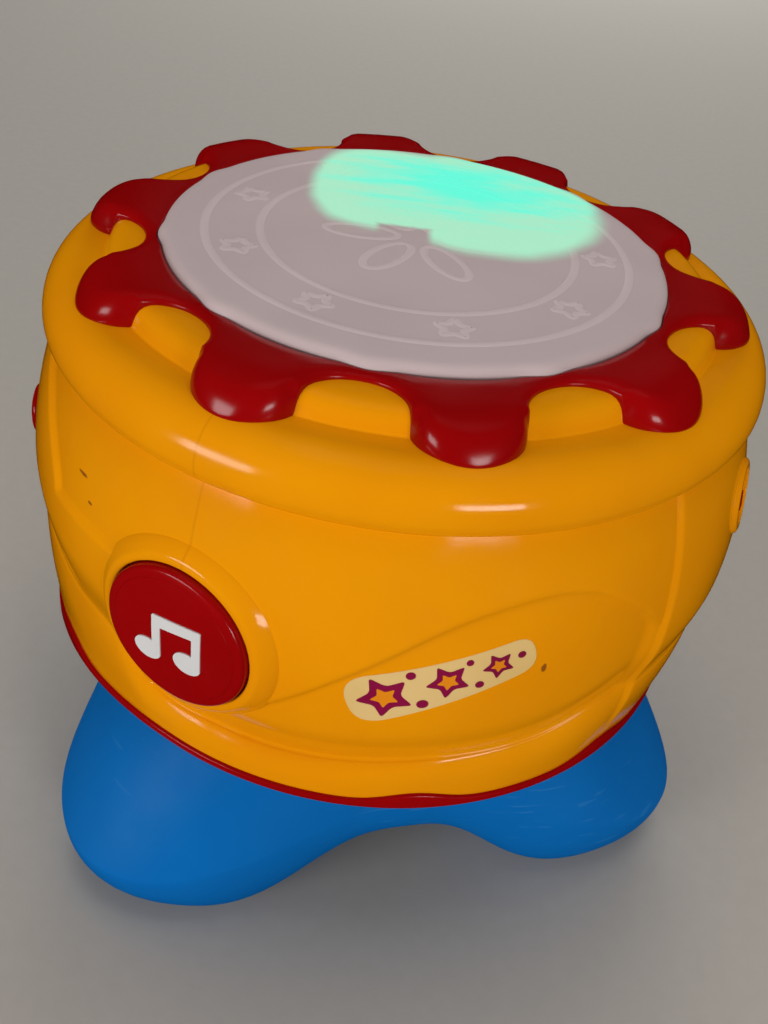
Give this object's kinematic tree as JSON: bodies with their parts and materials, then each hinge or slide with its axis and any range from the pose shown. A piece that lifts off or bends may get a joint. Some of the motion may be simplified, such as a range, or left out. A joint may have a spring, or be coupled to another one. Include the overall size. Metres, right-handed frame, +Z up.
{
  "type": "toy drum",
  "caption": "Barrel-shaped electronic toy drum with a pressable light-up head in a lobed crown, push buttons, a power slider and a footed stand that holds the batteries.",
  "frame": {"origin": "middle of the footprint box, on the ground under the drum", "axes": "+Z up along the drum's axis, -Y towards the front with the music button"},
  "size_m": [0.2334, 0.2286, 0.2086],
  "materials": {
    "yellow_plastic": "glossy moulded yellow",
    "red_plastic": "glossy moulded red",
    "blue_plastic": "satin moulded blue",
    "head_plastic": "translucent white, lit from inside",
    "white_plastic": "white reflector",
    "black_plastic": "plain black",
    "board_green": "printed circuit board",
    "lamp_resin": "clear resin",
    "lamp_lit": "lit clear resin",
    "rubber_grey": "soft rubber",
    "cone_paper": "speaker cone",
    "cell_jacket": "plain jacket",
    "bright_steel": "bright zinc",
    "lead_jacket": "wire insulation"
  },
  "bodies": {
    "drum": {"base_plate": "blue_plastic", "base_screw_1": "bright_steel", "base_screw_2": "bright_steel", "base_screw_3": "bright_steel", "base_stand": "blue_plastic", "battery_1": "cell_jacket", "battery_2": "cell_jacket", "battery_3": "cell_jacket", "battery_box": "black_plastic", "battery_lead": "lead_jacket", "board_screw_1": "bright_steel", "board_screw_2": "bright_steel", "body_shell": "yellow_plastic", "chamber_screw_1": "bright_steel", "chamber_screw_2": "bright_steel", "chamber_screw_3": "bright_steel", "contact_plate": "bright_steel", "contact_spring_plate": "bright_steel", "crown_ring": "red_plastic", "floor_pan": "red_plastic", "head_spring_1": "bright_steel", "head_spring_2": "bright_steel", "head_spring_3": "bright_steel", "head_switch": "black_plastic", "led_1": "lamp_resin", "led_2": "lamp_lit", "led_3": "lamp_resin", "light_chamber": "white_plastic", "main_board": "board_green", "music_lead": "lead_jacket", "music_switch_board": "board_green", "music_switch_pad": "rubber_grey", "shell_screw_1": "bright_steel", "shell_screw_2": "bright_steel", "shell_screw_3": "bright_steel", "side_lead": "lead_jacket", "side_switch_board": "board_green", "side_switch_pad": "rubber_grey", "slide_switch": "black_plastic", "slider_lead": "lead_jacket", "speaker_basket": "bright_steel", "speaker_cone": "cone_paper", "speaker_lead": "lead_jacket", "speaker_magnet": "black_plastic", "speaker_screw_1": "bright_steel", "speaker_screw_2": "bright_steel", "speaker_screw_3": "bright_steel"},
    "head": {"drum_head": "head_plastic"},
    "music_button": {"music_button": "red_plastic"},
    "side_button": {"side_button": "red_plastic"},
    "power_slider": {"power_slider": "red_plastic"},
    "battery_door": {"battery_door": "blue_plastic", "battery_door_screw": "bright_steel"}
  },
  "joints": [
    {"name": "head_press", "type": "slide", "parent": "drum", "child": "head", "axis": [0, 0, -1], "range_m": [0, 0.002], "stiffness_N_per_m": 900, "springref_m": -0.003, "deforming": ["head_spring_1", "head_spring_2", "head_spring_3"]},
    {"name": "music_press", "type": "slide", "parent": "drum", "child": "music_button", "axis": [0.4462, 0.8949, 0], "range_m": [0, 0.002], "stiffness_N_per_m": 500, "springref_m": -0.002},
    {"name": "side_press", "type": "slide", "parent": "drum", "child": "side_button", "axis": [0.9976, 0.0698, 0], "range_m": [0, 0.002], "stiffness_N_per_m": 400, "springref_m": -0.002},
    {"name": "power_slide", "type": "slide", "parent": "drum", "child": "power_slider", "axis": [0.342, 0.9397, 0], "range_m": [0, 0.005]},
    {"name": "battery_door_lift", "type": "slide", "parent": "drum", "child": "battery_door", "axis": [0, 0, -1], "range_m": [0, 0.024]}
  ]
}
